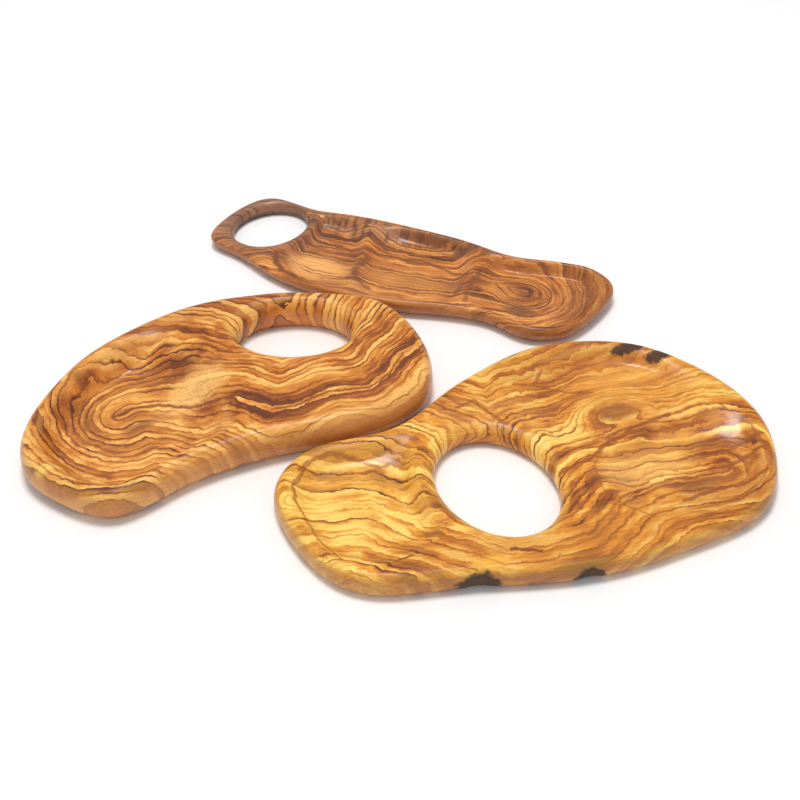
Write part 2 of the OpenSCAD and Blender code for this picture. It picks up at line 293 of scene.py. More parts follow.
    def grey(self, level: Wire) -> Wire:
        """Grey colour of the given level."""
        inputs = {"Red": level, "Green": level, "Blue": level}
        return self.node("ShaderNodeCombineColor", {}, inputs, "Color")

    def random(self, number: Wire) -> Wire:
        """Random value from 0 to 1 for each whole number."""
        return self.node("ShaderNodeTexWhiteNoise", {"noise_dimensions": "1D"}, {"W": number}, "Value")

    def finished(self, surface: Wire) -> bpy.types.Material:
        """Link a shader to the material's output, and give the material."""
        end = self.tree.nodes.new("ShaderNodeOutputMaterial")
        self.tree.links.new(surface.socket, end.inputs["Surface"])
        return self.material


def linear(colour: Colour) -> tuple[float, float, float, float]:
    """Screen colour of 0 to 255 as a linear colour with full alpha."""
    def one(level: int) -> float:
        """One channel."""
        share = level / 255.0
        return share / 12.92 if share <= 0.04045 else ((share + 0.055) / 1.055) ** 2.4

    red, green, blue = colour
    return one(red), one(green), one(blue), 1.0


@dataclass(frozen=True)
class Swirl:
    """A bulge in the growth layers, in a dish's own frame and in millimetres."""

    place: Pair
    size: Pair
    lift: float

    def raised(self, graph: Graph, place: Wire) -> Wire:
        """Millimetres by which the bulge moves the layers at points in the dish's frame."""
        away = graph.vector("SUBTRACT", place, (*self.place, 0.0))
        scaled = graph.vector("MULTIPLY", away, (1.0 / self.size[0], 1.0 / self.size[1], 0.0))
        return self.lift / (1.0 + graph.length(scaled) ** 4.0)


@dataclass(frozen=True)
class Patch:
    """A ragged patch of another colour, in a dish's own frame and in millimetres: mostly the wood's own, two
    are painted light.

    Soft is the width of its edge. Inside it the layers are paler by lift and their lines weaker by calm.
    """

    place: Triple
    size: Triple
    colour: Colour
    strength: float
    soft: float = 0.5
    lift: float = 0.0
    calm: float = 0.0

    def mask(self, graph: Graph, place: Wire) -> Wire:
        """How much of the patch shows at points in the dish's frame, from 0 to its strength."""
        away = graph.vector("SUBTRACT", place, self.place)
        scaled = graph.vector("MULTIPLY", away, tuple(1.0 / side for side in self.size))
        inside = graph.step(graph.length(scaled), 1.0 + self.soft, 1.0 - self.soft)
        return inside * self.strength


@dataclass(frozen=True)
class Vein:
    """A dark line in the wood along a path of points, in a dish's own frame and in millimetres."""

    path: tuple[Pair, ...]
    width: float
    strength: float

    def mask(self, graph: Graph, place: Wire) -> Wire:
        """How much of the vein shows at points in the dish's frame, from 0 to its strength."""
        return graph.step(graph.gap(place, self.path), self.width, self.width * CORE) * self.strength


@dataclass(frozen=True)
class OliveWood:
    """One olive wood: its colours, the run of its growth layers and the marks in it, in millimetres.

    The layers run along the spine, spacing apart, and lie across tilt. Sway, wave and jag move them about.
    Their tone is base, varied by band, streak and stripe from layer to layer and by blotch from place to
    place. Line and line_width are the strength and width of the dark lines between them. Rim is the height
    of the rim, and hole is the middle of the finger hole. A painted highlight pales the roll of the rim; the
    field after hole gives its share. The outer flanks turn to a plain colour that is partly painted shade.
    """

    name: str
    light: Colour
    warm: Colour
    heart: Colour
    dark: Colour
    # Plain colour of the outer flanks: partly the side grain's own colour, partly painted shade.
    plain_and_shaded_flank: Colour
    tilt: Triple
    spacing: float
    sway: float
    wave: float
    jag: float
    band: float
    streak: float
    stripe: float
    blotch: float
    base: float
    line: float
    line_width: float
    rim: float
    hole: Pair
    # Share of the painted highlight that pales the roll of the rim.
    rim_highlight: float
    spine: tuple[Pair, ...]
    seed: float
    swirls: tuple[Swirl, ...] = ()
    tones: tuple[Patch, ...] = ()
    curls: tuple[Patch, ...] = ()
    veins: tuple[Vein, ...] = ()
    bark: tuple[Patch, ...] = ()


class WoodShader:
    """Material of one dish: growth layers with dark lines, tone bands, marks, fibres and an oiled shine."""

    # Waves in the layers: size in millimetres, and how much they are drawn out along the grain.
    SWAY = (95.0, 0.45)
    WAVE = (26.0, 0.45)
    JAG = (6.0, 0.7)
    # Ragged edges: size of the noise, and how far it moves points, in millimetres.
    SPINE_EDGE = (18.0, 9.0)
    PATCH_EDGE = (9.0, 7.0)
    VEIN_EDGE = (6.0, 5.0)
    BARK_EDGE = (5.0, 7.0)
    # How quickly tones change within a layer.
    SPREAD = (0.03, 0.06, 0.01)
    # Tones at which each darker colour begins and is full.
    WARM_TONES = (0.05, 0.6)
    HEART_TONES = (0.5, 0.95)
    DARK_TONES = (0.85, 1.3)
    # Upward parts of the normal at which flanks, faded lines, the rim and its roll begin and are full.
    FLANK_LEVELS = (0.75, 0.3)
    FADED_LEVELS = (0.85, 0.4)
    RIM_LEVELS = (0.3, 0.7)
    ROLL_LEVELS = (0.98, 0.85)
    # Millimetres below the rim at which its painted highlight begins and is full, and at which the coat is
    # full.
    RIM_HIGHLIGHT_BAND = (5.0, 1.0)
    COAT_BAND = 4.0
    # Greatest share of each thing in the tone or the colour.
    LATE_SHARE = 0.5
    DARK_SHARE = 0.8
    LINE_SHARE = 0.8
    FADED_SHARE = 0.8
    # Plain flank colour, which is partly painted shade.
    FLANK_SHADE_SHARE = 0.65
    VEIN_SHARE = 0.6
    CRUST_SHARE = 0.6
    FIBRE_SHADE = 0.75
    PORE_SHADE = 0.25
    # Shine, and the relief of the fibres with its depth in metres.
    ROUGHNESS = 0.4
    THIN_COAT = 0.08
    FULL_COAT = 0.24
    COAT_ROUGHNESS = 0.14
    IOR = 1.4
    RELIEF = {"Strength": 0.14, "Distance": 0.0003}

    def __init__(self, wood: OliveWood, turn: float, centre: Pair) -> None:
        """Find where the surface is and how it faces in the dish's own frame, in millimetres.

        Args:
            wood: The dish's wood.
            turn: Turn of the dish on the table, degrees.
            centre: Place of the dish's own frame on the table, metres.
        """
        graph = Graph(wood.name)
        angle = math.radians(turn)
        inputs = {
            "Vector": graph.node("ShaderNodeTexCoord", {}, {}, "Object"),
            "Location": (*centre, 0.0),
            "Rotation": (0.0, 0.0, angle),
            "Scale": (MM, MM, MM),
        }
        self.wood = wood
        self.graph = graph
        self.place = graph.node("ShaderNodeMapping", {"vector_type": "TEXTURE"}, inputs, "Vector")
        normal = graph.node("ShaderNodeNewGeometry", {}, {}, "Normal")
        inputs = {"Vector": normal, "Rotation": (0.0, 0.0, -angle)}
        self.facing = graph.node("ShaderNodeMapping", {"vector_type": "VECTOR"}, inputs, "Vector")
        self.level = graph.dot(self.facing, UP)
        self.top = graph.dot(self.place, UP)
        self.outer = self._outer()
        self.ragged = graph.ragged(self.place, *self.PATCH_EDGE)
        self.masks = [patch.mask(graph, self.ragged) for patch in wood.tones]
        broken = graph.ragged(self.ragged, *self.BARK_EDGE)
        self.crusts = [patch.mask(graph, broken) for patch in wood.bark]

    def _outer(self) -> Wire:
        """1 where the surface faces away from the finger hole, 0 on the walls of the hole."""
        away = self.graph.vector("SUBTRACT", self.place, (*self.wood.hole, 0.0))
        flat = self.graph.vector("MULTIPLY", away, (1.0, 1.0, 0.0))
        return self.graph.step(self.graph.dot(self.facing, flat), -4.0, 4.0)

    def _layers(self) -> Wire:
        """Depth through the growth layers, in millimetres."""
        graph, wood, place = self.graph, self.wood, self.place
        aside = graph.gap(graph.ragged(place, *self.SPINE_EDGE), wood.spine)
        depth = graph.dot(place, (0.0, 0.0, wood.tilt[2])) - aside * math.hypot(*wood.tilt[:2])
        moved = graph.vector("ADD", place, (wood.seed, 0.0, 0.0))
        for (size, drawn), reach in ((self.SWAY, wood.sway), (self.WAVE, wood.wave)):
            depth = depth + graph.noise(graph.drawn_out(moved, drawn), size, 1.0) * reach
        size, drawn = self.JAG
        depth = depth + graph.noise(graph.drawn_out(moved, drawn), size, 2.0, 0.6) * wood.jag
        for swirl in wood.swirls:
            depth = depth + swirl.raised(graph, place)
        return depth

    def _steepness(self) -> Wire:
        """How steeply the surface cuts the layers, from about 0.25 where it runs along them to 1 across."""
        across = np.array(self.wood.tilt) / np.linalg.norm(self.wood.tilt)
        along = self.graph.dot(self.facing, tuple(float(part) for part in across))
        return self.graph.maths("SQRT", 1.06 - along * along)

    def _figure(self) -> tuple[Wire, Wire]:
        """Tones of the growth layers, and the dark lines that end them.

        Returns:
            How dark the wood is, from about 0 for pale to 1.3 for the darkest heart, and how much of a line
            shows.
        """
        graph, wood, place = self.graph, self.wood, self.place
        count = self._layers() / wood.spacing
        ring = graph.maths("FLOOR", count)
        share = count - ring
        tone = graph.random(ring + wood.seed)
        sharpness = graph.random(ring + (wood.seed + 57.0))
        late = share * share * (0.3 + 0.7 * sharpness)
        spread = graph.vector("MULTIPLY", place, self.SPREAD)
        layered = graph.vector("ADD", spread, graph.node("ShaderNodeCombineXYZ", {}, {"Z": count}, "Vector"))
        wide = graph.noise(layered, 5.0, 1.0)
        slim = graph.noise(graph.vector("MULTIPLY", layered, (1.6, 1.6, 1.0)), 1.3, 2.0, 0.6)
        blotch = graph.noise(graph.drawn_out(place, 0.6), 30.0, 3.0, 0.55)
        depth = wood.base + wide * wood.band + slim * wood.streak + (tone - 0.5) * wood.stripe
        depth = depth + (blotch * wood.blotch + late * self.LATE_SHARE)

        fade = graph.step(graph.noise(graph.drawn_out(place, 0.6), 20.0, 2.0), -0.14, 0.1)
        crowd = graph.step(graph.noise(layered, 3.0, 1.0), -0.16, 0.06)
        rest = (1.0 - share) * wood.spacing / self._steepness()
        line = graph.step(rest, wood.line_width, wood.line_width * CORE) * graph.step(sharpness, 0.1, 0.7)
        line = line * (0.5 + 0.5 * fade) * (0.5 + 0.5 * crowd)
        line = line * (1.0 - self.outer * self.FADED_SHARE * graph.step(self.level, *self.FADED_LEVELS))
        for patch, mask in zip(wood.tones, self.masks):
            if patch.lift:
                depth = depth - mask * (patch.lift / patch.strength)
            if patch.calm:
                line = line * (1.0 - mask * (patch.calm / patch.strength))
        return depth, line

    def _toned(self, depth: Wire) -> Wire:
        """Colour of wood of the given darkness, with its patches and the strokes of curly grain."""
        graph, wood = self.graph, self.wood
        colour = graph.mix(graph.step(depth, *self.WARM_TONES), wood.light, wood.warm)
        colour = graph.mix(graph.step(depth, *self.HEART_TONES), colour, wood.heart)
        colour = graph.mix(graph.step(depth, *self.DARK_TONES) * self.DARK_SHARE, colour, wood.dark)
        for patch, mask in zip(wood.tones, self.masks):
            colour = graph.mix(mask, colour, patch.colour)
        across = graph.noise(graph.vector("MULTIPLY", self.ragged, (1.0, 0.16, 0.16)), 3.6, 1.0)
        stroke = graph.step(across, -0.06, 0.1)
        for patch in wood.curls:
            colour = graph.mix(patch.mask(graph, self.ragged) * stroke, colour, patch.colour)
        return colour

    def _flank_shade_and_rim_highlight(self, colour: Wire) -> Wire:
        """Colour with flanks in plain colour and painted shade, and a painted highlight on the rim's roll.
        """
        graph, wood = self.graph, self.wood
        # Painted shade, in part: the outer flanks turn to the plain flank colour, darker on most woods.
        flank_shade = graph.step(self.level, *self.FLANK_LEVELS) * graph.step(self.top, 0.0, wood.rim * 0.5)
        colour = graph.mix(flank_shade * self.outer * self.FLANK_SHADE_SHARE, colour, wood.plain_and_shaded_flank)
        # Painted highlight: the roll just below the rim is paled towards the light colour.
        begin, full = (wood.rim - below for below in self.RIM_HIGHLIGHT_BAND)
        rim_highlight_mask = graph.step(self.top, begin, full) * graph.step(self.level, *self.ROLL_LEVELS)
        return graph.mix(rim_highlight_mask * graph.step(self.level, *self.RIM_LEVELS) * wood.rim_highlight, colour, wood.light)

    def _lined(self, colour: Wire, line: Wire) -> Wire:
        """Colour with the dark lines between the layers, the veins and the bark."""
        graph, wood = self.graph, self.wood
        colour = graph.mix(line * self.LINE_SHARE, colour, wood.heart)
        colour = graph.mix(line * line * wood.line, colour, wood.dark)
        traced = graph.ragged(self.place, *self.VEIN_EDGE)
        for vein in wood.veins:
            mask = vein.mask(graph, traced)
            colour = graph.mix(mask, colour, wood.heart)
            colour = graph.mix(mask * mask * self.VEIN_SHARE, colour, wood.dark)
        for patch, crust in zip(wood.bark, self.crusts):
            colour = graph.mix(crust, colour, patch.colour)
        return colour

    def _oiled(self, colour: Wire, line: Wire) -> Wire:
        """Shader of oiled wood with fibres, pores and lumps of bark, from its colour and its lines."""
        graph, place, rim = self.graph, self.place, self.wood.rim
        fibre = graph.noise(graph.drawn_out(place, 0.045), 1.3, 3.0, 0.65)
        pores = graph.step(graph.noise(graph.drawn_out(place, 0.16), 1.0, 1.0), 0.14, 0.26)
        shade = 1.0 + fibre * self.FIBRE_SHADE - pores * self.PORE_SHADE
        colour = graph.mix(1.0, colour, graph.grey(shade), "MULTIPLY")
        roughness = self.ROUGHNESS + fibre * 0.2 + line * 0.12
        height = fibre * 0.4 - pores * 0.5 - line * 0.4
        coat = self.THIN_COAT + self.FULL_COAT * graph.step(self.top, rim, rim - self.COAT_BAND)
        if self.crusts:
            crust = graph.fold("MAXIMUM", self.crusts)
            lumps = graph.noise(place, 2.4, 3.0, 0.6)
            colour = graph.mix(crust * self.CRUST_SHARE, colour, graph.grey(0.6 + lumps * 1.2), "MULTIPLY")
            roughness = roughness + crust * 0.4
            height = height + crust * lumps * 4.0
            coat = coat * (1.0 - crust)
        inputs = {
            "Base Color": colour,
            "Roughness": roughness,
            "Normal": graph.node("ShaderNodeBump", {}, {**self.RELIEF, "Height": height}, "Normal"),
            "IOR": self.IOR,
            "Coat Weight": coat,
            "Coat Roughness": self.COAT_ROUGHNESS,
        }
        return graph.node("ShaderNodeBsdfPrincipled", {}, inputs, "BSDF")

    def material(self) -> bpy.types.Material:
        """Make the material.

        Returns:
            The material.
        """
        depth, line = self._figure()
        colour = self._lined(self._flank_shade_and_rim_highlight(self._toned(depth)), line)
        return self.graph.finished(self._oiled(colour, line))


@dataclass(frozen=True)
class Pit:
    """A rough pit where bark grew into the wood, in a dish's own frame and in millimetres."""

    place: Triple
    size: Triple
    depth: float


@dataclass(frozen=True)
class Hollow:
    """One scooped hollow. Millimetres, degrees, and its place in percent of half the dish."""

    length: float
    width: float
    depth: float
    place: Pair
    turn: float
    flat: float

    SQUARE = 2.6

    def scoop(self, points: np.ndarray, half: np.ndarray) -> np.ndarray:
        """Depth of the hollow: a squarish oval with an eased wall.

        Args:
            points: Points in the dish's frame.
            half: Half the dish's length and width.

        Returns:
            Depth at each point.
        """
        own = turned(points - half * np.array(self.place) / 100.0, -self.turn)
        across = np.abs(2.0 * own / np.array([self.length, self.width])) ** self.SQUARE
        ring = across.sum(axis=-1) ** (1.0 / self.SQUARE)
        return self.depth * ease((1.0 - ring) / (1.0 - self.flat))


@dataclass(frozen=True)
class FingerHole:
    """The hole right through a dish. Millimetres, degrees, and its place in percent of half the dish."""

    length: float
    width: float
    place: Pair
    turn: float
    seam: float
    roll: float
    foot: float

    def at(self, degrees: np.ndarray, half: np.ndarray) -> np.ndarray:
        """Points on the wall of the hole at the given angles."""
        angle = np.radians(degrees)
        oval = np.stack([self.length * np.cos(angle), self.width * np.sin(angle)], axis=-1) / 2.0
        return half * np.array(self.place) / 100.0 + turned(oval, self.turn)

    def outward(self, degrees: np.ndarray, half: np.ndarray) -> np.ndarray:
        """Unit vectors from the hole into the wood at the given angles."""
        side = self.at(degrees + 1.0, half) - self.at(degrees - 1.0, half)
        normal = np.stack([side[..., 1], -side[..., 0]], axis=-1)
        return normal / np.linalg.norm(normal, axis=-1, keepdims=True)


@dataclass
class CarvedDish:
    """One dish, carved from one board: a loft from its outline in to its finger hole.

    Sizes are in millimetres. The outline's points and the tip are in percent of half the length and width.
    The loft's rows fan out round the tip, run along a seam to the hole, go round it and come back. Marks are
    the percents of the outline's length where these parts meet, and pace ties the way round the hole to it.
    """

    node: str
    wood: OliveWood
    outline: tuple[Pair, ...]
    passes: int
    length: float
    width: float
    heights: Pair
    rolls: Pair
    taper: Pair
    belly: float
    tuck: float
    slope: float
    hole: FingerHole
    hollows: tuple[Hollow, ...]
    tip: Pair
    marks: tuple[float, float, float, float]
    turn: float
    pace: tuple[Pair, ...]
    rows: tuple[int, int, int]
    pits: tuple[Pit, ...] = ()

    # Steps up half a wall, across the top and between two points of the outline.
    HALF_WALL = 10
    TOP_ROWS = 46
    SPAN_STEPS = 16
    # Most of a row that a roll may take, how hollows run together, and how points crowd at the rim.
    ROLL_SHARE = 0.45
    BLEND = 3.0
    CROWDING = 1.25
    # Share of the outline on either side over which its direction is read.
    NUDGE = 0.004
    # Edge and lumps of the bark pits.
    PIT_EDGE = 1.6
    PIT_LUMPS = 0.25
    LUMP_WAVES = (1.3, 1.7)

    def __post_init__(self) -> None:
        """Work out the outline and its length."""
        self.centre = (0.0, 0.0)
        self.half = np.array([self.length, self.width]) / 2.0
        edge = self._edge()
        self.ring = np.vstack([edge, edge[:1]])
        steps = np.linalg.norm(np.diff(self.ring, axis=0), axis=1)
        self.run = np.concatenate([[0.0], np.cumsum(steps)])

    def _edge(self) -> np.ndarray:
        """Closed smooth curve through the outline's points, softened and stretched to the dish's size."""
        points = np.array(self.outline, float)
        before, after, beyond = np.roll(points, 1, 0), np.roll(points, -1, 0), np.roll(points, -2, 0)
        share = (np.arange(self.SPAN_STEPS) / self.SPAN_STEPS)[None, :, None]
        a, b, c, d = (p[:, None, :] for p in (before, points, after, beyond))
        cubic = 2 * b + (c - a) * share + (2 * a - 5 * b + 4 * c - d) * share**2
        curve = ((cubic + (3 * b - a - 3 * c + d) * share**3) / 2.0).reshape(-1, 2)
        for _ in range(self.passes):
            curve = (np.roll(curve, 1, 0) + 2 * curve + np.roll(curve, -1, 0)) / 4.0
        low, high = curve.min(axis=0), curve.max(axis=0)
        return (curve - (low + high) / 2.0) * 2.0 * self.half / (high - low)

    def _edge_at(self, shares: np.ndarray) -> np.ndarray:
        """Points of the outline at the given shares of its length."""
        place = (shares % 1.0) * self.run[-1]
        return np.stack([np.interp(place, self.run, self.ring[:, k]) for k in (0, 1)], axis=-1)

    def _between(self, ends: Pair, points: np.ndarray) -> np.ndarray:
        """Value that eases along the dish from one end of its taper to the other."""
        start, stop = self.taper
        return ends[0] + (ends[1] - ends[0]) * ease((points[..., 0] - start) / (stop - start))

    def _top(self, points: np.ndarray, rim: np.ndarray, mouth: np.ndarray) -> np.ndarray:
        """Height of the top: the rim's height less the hollows, which fade out at the rim and the hole.

        Args:
            points: Points in the dish's frame.
            rim: The outline's points.
            mouth: The hole's points.

        Returns:
            Height at each point.
        """
        scoops = sum(hollow.scoop(points, self.half) ** self.BLEND for hollow in self.hollows)
        depth = scoops ** (1.0 / self.BLEND)
        from_rim = ease((gap_to(rim, points) - self._between(self.rolls, points)) / self.slope)
        from_hole = ease((gap_to(mouth, points) - self.hole.roll) / self.slope)
        return self._between(self.heights, points) - depth * from_rim * from_hole

    def _grid(self) -> tuple[np.ndarray, np.ndarray]:
        """Vertices and four-sided faces of the dish in its own frame.

        Returns:
            Vertices in millimetres, and the vertex numbers of each face.
        """
        fan, seam, round_hole = self.rows
        seam_end, hole_end = fan + seam, fan + seam + round_hole
        count = hole_end + seam

        # The outline, row by row.
        first, second, third, fourth = (mark / 100.0 for mark in self.marks)
        shares = np.concatenate([
            np.linspace(fourth - 1.0, first, fan, endpoint=False),
            np.linspace(first, second, seam, endpoint=False),
            np.linspace(second, third, round_hole, endpoint=False),
            np.linspace(third, fourth, seam, endpoint=False),
        ])
        rim = self._edge_at(shares)
        side = self._edge_at(shares + self.NUDGE) - self._edge_at(shares - self.NUDGE)
        inward = np.stack([-side[:, 1], side[:, 0]], axis=-1)
        inward /= np.linalg.norm(inward, axis=-1, keepdims=True)

        # The hole's mouth, and the seam that leads to it.
        done, turn = np.array(self.pace).T
        angles = self.hole.seam + 360.0 * np.interp(np.arange(round_hole) / round_hole, done, turn)
        mouth = self.hole.at(angles, self.half)
        outward = self.hole.outward(angles, self.half)
        mouth_band = self.ROLL_SHARE * np.linalg.norm(rim[seam_end:hole_end] - mouth, axis=-1)
        mouth_roll = np.minimum(self.hole.roll, mouth_band)
        mouth_foot = np.minimum(self.hole.foot, mouth_band)
        crown = mouth + outward * mouth_roll[:, None]
        tip = self.half * np.array(self.tip) / 100.0
        line = tip + (crown[0] - tip) * (np.arange(seam + 1) / seam)[:, None]

        # Where each row ends, and how wide its roll and tuck are.
        inner = np.concatenate([np.repeat(tip[None], fan, axis=0), line[:seam], crown, line[:0:-1]])
        band = self.ROLL_SHARE * np.linalg.norm(rim - inner, axis=-1)
        band[seam_end:hole_end] = mouth_band
        roll = np.minimum(self._between(self.rolls, rim), band)
        tuck = np.minimum(self.tuck, band)

        # The outer wall.
        steps = 2 * self.HALF_WALL
        tilt = np.radians(np.linspace(-90.0, 90.0, steps + 1))
        low = (tilt < 0.0)[None]
        inset = np.where(low, tuck[:, None], roll[:, None]) * (1.0 - np.cos(tilt))[None]
        wall = rim[:, None] + inward[:, None] * inset[..., None]
        start = rim + inward * roll[:, None]
        high = self._between(self.heights, start)[:, None]
        wall_z = self.belly + np.where(low, self.belly, high - self.belly) * np.sin(tilt)[None]

        # The top.
        reach = (np.arange(1, self.TOP_ROWS + 1) / self.TOP_ROWS) ** self.CROWDING
        top = start[:, None] + (inner - start)[:, None] * reach[None, :, None]
        top_z = self._top(top, rim, mouth)
        skin = np.concatenate([np.dstack([wall, wall_z]), np.dstack([top, top_z])], axis=1)

        # The base, and the wall of the hole.
        under = np.concatenate([inner, np.zeros((count, 1))], axis=1)
        under[seam_end:hole_end, :2] = mouth + outward * mouth_foot[:, None]
        down = tilt[::-1][1:-1]
        low = (down < 0.0)[None]
        inset = np.where(low, mouth_foot[:, None], mouth_roll[:, None]) * (1.0 - np.cos(down))[None]
        throat = mouth[:, None] + outward[:, None] * inset[..., None]
        middle = self._top(crown, rim, mouth)[:, None] / 2.0
        throat_z = middle * (1.0 + np.sin(down))[None]
        throat = np.dstack([throat, throat_z])
        vertices = np.concatenate([skin.reshape(-1, 3), under, throat.reshape(-1, 3)])
        return vertices, self._faces(count, skin.shape[1], steps)

    def _faces(self, count: int, columns: int, steps: int) -> np.ndarray:
        """Vertex numbers of each face.

        The two sides of the seam share their points, and all rows of the fan share its tip.

        Args:
            count: Rows of the loft.
            columns: Points in each row.
            steps: Steps up a wall.

        Returns:
            Four vertex numbers a face, with repeats where a face has three corners.
        """
        fan, seam, round_hole = self.rows
        seam_end, hole_end = fan + seam, fan + seam + round_hole
        row = np.arange(count)
        owner = row.copy()
        owner[:fan + 1] = 0
        owner[hole_end] = seam_end
        owner[hole_end + 1:] = fan + seam - (row[hole_end + 1:] - hole_end)
        skin = row[:, None] * columns + np.arange(columns)[None]
        skin[:, -1] = owner * columns + columns - 1
        base = count * columns
        under = base + owner
        throat = np.empty((round_hole, steps + 1), int)
        throat[:, 0] = skin[seam_end:hole_end, -1]
        throat[:, -1] = under[seam_end:hole_end]
        inside = np.arange(round_hole * (steps - 1)).reshape(round_hole, steps - 1)
        throat[:, 1:-1] = base + count + inside

        def patches(grid: np.ndarray) -> np.ndarray:
            """Faces between each row of a grid and the next, round to the first."""
            after = np.roll(grid, -1, axis=0)
            sides = (grid[:, :-1], after[:, :-1], after[:, 1:], grid[:, 1:])
            return np.stack(sides, axis=-1).reshape(-1, 4)

        floor = np.stack([under, skin[:, 0]], axis=-1)
        return np.concatenate([patches(skin), patches(floor), patches(throat)])

    def build(self) -> bpy.types.Object:
        """Make the dish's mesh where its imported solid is.

        Returns:
            The new object.
        """
        vertices, faces = self._grid()
        laid = np.concatenate([turned(vertices[:, :2], self.turn), vertices[:, 2:]], axis=1) * MM
        low, high = (np.array(corner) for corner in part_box(self.node))
        middle = (laid.min(axis=0) + laid.max(axis=0)) / 2.0
        self.centre = tuple(((low + high) / 2.0 - middle)[:2])
        laid[:, :2] += np.array(self.centre)
        laid = np.clip(laid, low, high)
        corners = [list(dict.fromkeys(int(v) for v in face)) for face in faces]
        used = sorted({v for face in corners for v in face})
        number = {v: k for k, v in enumerate(used)}
        mesh = bpy.data.meshes.new(self.node + "_wood")
        mesh.from_pydata(laid[used].tolist(), [], [[number[v] for v in face] for face in corners])
        mesh.polygons.foreach_set("use_smooth", [True] * len(mesh.polygons))
        mesh.update()
        self._sink_pits(mesh, vertices[used])
        dish = bpy.data.objects.new(self.node + "_wood", mesh)
        bpy.context.scene.collection.objects.link(dish)
        return dish

    def _sink_pits(self, mesh: bpy.types.Mesh, points: np.ndarray) -> None:
        """Push the mesh in at its pits. The points are its vertices in the dish's own frame, in mm."""
        count = len(points)
        normals = np.empty(count * 3, np.float32)
        places = np.empty(count * 3, np.float32)
        mesh.vertices.foreach_get("normal", normals)
        mesh.vertices.foreach_get("co", places)
        depth = np.zeros(count)
        for pit in self.pits:
            away = (points - np.array(pit.place)) / np.array(pit.size)
            waves = points[:, (0, 2)] * np.array(self.LUMP_WAVES)
            lumps = self.PIT_LUMPS * np.sin(waves[:, 0]) * np.cos(waves[:, 1])
            inside = ease(self.PIT_EDGE - self.PIT_EDGE * np.linalg.norm(away, axis=-1))
            depth += pit.depth * inside * (1.0 + lumps)
        sunk = places.reshape(-1, 3) - normals.reshape(-1, 3) * depth[:, None] * MM
        mesh.vertices.foreach_set("co", sunk.astype(np.float32).reshape(-1))
        mesh.update()

    def dress(self, dish: bpy.types.Object) -> None:
        """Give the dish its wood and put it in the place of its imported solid."""
        dish.data.materials.append(WoodShader(self.wood, self.turn, self.centre).material())
        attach(dish, self.node)
        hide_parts(self.node)


class Lamp(Enum):
    """Soft boxes of the studio: place, point aimed at, width, height and power."""

    TOP = ((-0.1, 0.15, 2.0), (0.0, 0.0, 0.0), 0.6, 0.6, 24.0)


@dataclass
class Studio:
    """White table, soft light and the camera."""

    camera_place: Triple = (0.0009, -0.7871, 0.7651)
    camera_pitch: float = 45.0
    field_of_view: float = 30.0
    table_size: float = 12.0
    sky: float = 0.58

    def build(self) -> None:
        """Make the table, the sky, the lamps and the camera."""
        self._table()
        self._sky()
        for lamp in Lamp:
            self._lamp(lamp)
        self._camera()

    def _table(self) -> None:
        """White table top under the dishes."""
        half = self.table_size / 2.0
        mesh = bpy.data.meshes.new("table_top")
        corners = [(-half, -half, 0.0), (half, -half, 0.0), (half, half, 0.0), (-half, half, 0.0)]
        mesh.from_pydata(corners, [], [(0, 1, 2, 3)])
        table = bpy.data.objects.new("table_top", mesh)
        bpy.context.scene.collection.objects.link(table)
        graph = Graph("white_table")
        inputs = {"Base Color": (0.93, 0.93, 0.93, 1.0), "Roughness": 0.7, "Specular IOR Level": 0.2}
        surface = graph.node("ShaderNodeBsdfPrincipled", {}, inputs, "BSDF")
        mesh.materials.append(graph.finished(surface))

    def _sky(self) -> None:
        """Even white light from all round."""
        world = bpy.data.worlds.new("white_tent")
        world.use_nodes = True
        inputs = world.node_tree.nodes["Background"].inputs
        inputs["Color"].default_value = (1.0, 1.0, 1.0, 1.0)
        inputs["Strength"].default_value = self.sky
        bpy.context.scene.world = world

    def _lamp(self, lamp: Lamp) -> None:
        """Add one soft box, aimed at its point."""
        place, aim, width, height, power = lamp.value
        data = bpy.data.lights.new(lamp.name.lower() + "_box", "AREA")
        data.shape = "RECTANGLE"
        data.size = width
        data.size_y = height
        data.energy = power
        box = bpy.data.objects.new(data.name, data)
        box.location = place
        box.rotation_euler = (Vector(aim) - Vector(place)).to_track_quat("-Z", "Y").to_euler()
        bpy.context.scene.collection.objects.link(box)

    def _camera(self) -> None:
        """Camera at the picture's viewing angle."""
        data = bpy.data.cameras.new("camera")
        data.sensor_width = 36.0
        data.sensor_fit = "HORIZONTAL"
        data.angle = math.radians(self.field_of_view)
        data.clip_start = 0.01
        camera = bpy.data.objects.new("camera", data)
        camera.location = self.camera_place
        camera.rotation_euler = (math.radians(90.0 - self.camera_pitch), 0.0, 0.0)
        bpy.context.scene.collection.objects.link(camera)
        bpy.context.scene.camera = camera


